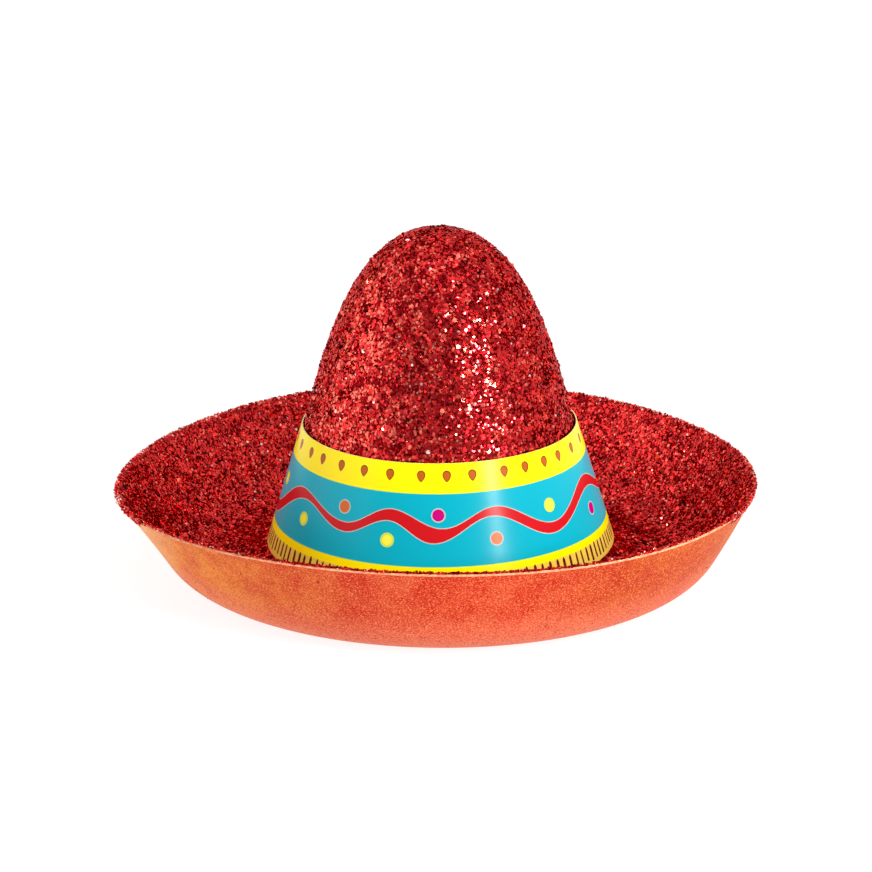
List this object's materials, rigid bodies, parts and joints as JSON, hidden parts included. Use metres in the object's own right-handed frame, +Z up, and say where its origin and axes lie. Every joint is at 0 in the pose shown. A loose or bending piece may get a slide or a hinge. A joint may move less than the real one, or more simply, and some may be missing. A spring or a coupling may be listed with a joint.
{
  "type": "mini sombrero",
  "caption": "Small glitter-coated plastic party sombrero with a tall domed crown, an upturned dish-shaped brim and a printed card band round the crown's foot.",
  "frame": {"origin": "under the middle of the brim, in the plane of the flat ring at the bottom of the brim, on which the hat stands", "axes": "+Z up through the crown; the hat's front faces -Y; +X is to its right as seen from the front; the lapped seam of the band is at +Y"},
  "size_m": [0.1402, 0.1402, 0.0769],
  "materials": {
    "shell_plastic": "thin translucent coral-red sheet, satin",
    "crown_glitter": "coarse metallic red glitter flakes",
    "brim_glitter": "metallic deep red glitter flakes",
    "printed_card": "glossy coated card, printed yellow, turquoise and red",
    "hot_melt_glue": "milky hot-melt glue"
  },
  "bodies": {
    "root": {"hat_shell": "shell_plastic", "crown_glitter_coat": "crown_glitter", "brim_glitter_coat": "brim_glitter", "hat_band": "printed_card", "band_glue_dab_1": "hot_melt_glue", "band_glue_dab_2": "hot_melt_glue", "band_glue_dab_3": "hot_melt_glue", "band_glue_dab_4": "hot_melt_glue"}
  },
  "joints": []
}
